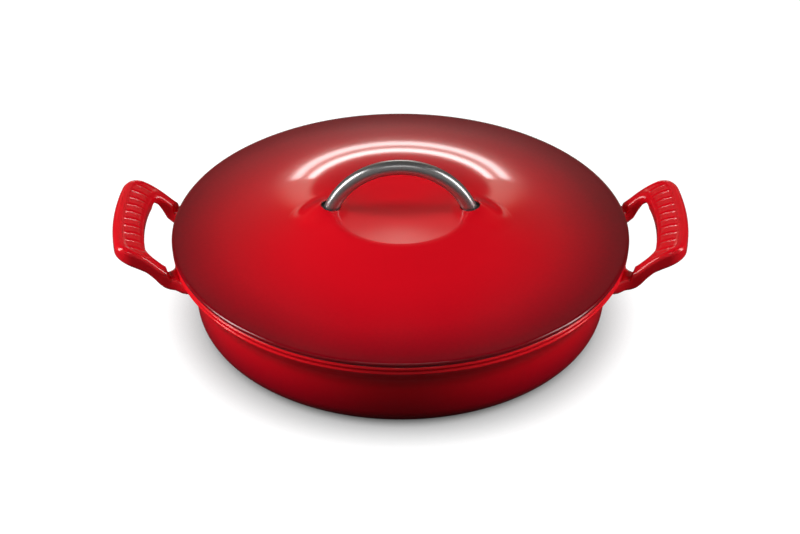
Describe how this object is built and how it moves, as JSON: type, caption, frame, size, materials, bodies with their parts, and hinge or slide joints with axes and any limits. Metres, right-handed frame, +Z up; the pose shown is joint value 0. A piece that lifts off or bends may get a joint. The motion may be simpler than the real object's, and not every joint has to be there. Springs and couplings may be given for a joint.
{
  "type": "braiser",
  "caption": "Round shallow enamelled cast-iron braiser with ribbed loop side handles and a domed lid that has a dished centre under an arched steel bar handle.",
  "frame": {"origin": "centre of the foot, on the surface the pan stands on", "axes": "+Z up, +X along the line through the two side handles, +Y across it; the pan and the lid are round about Z"},
  "size_m": [0.3886, 0.31, 0.119],
  "materials": {
    "pan_enamel": "glossy enamel over cast iron, cherry red at the rim fading to near black at the foot, cream inside",
    "lid_enamel": "glossy enamel over cast iron, cherry red at the centre fading to dark red at the edge",
    "handle_steel": "satin steel",
    "screw_steel": "plain steel",
    "washer_steel": "plain steel"
  },
  "bodies": {
    "pan": {"pan": "pan_enamel"},
    "lid": {"lid": "lid_enamel", "lid_handle": "handle_steel", "handle_screws": "screw_steel", "handle_washers": "washer_steel"}
  },
  "joints": [
    {"name": "lid_lift", "type": "slide", "parent": "pan", "child": "lid", "axis": [0, 0, 1], "range_m": [0, 0.06]}
  ]
}
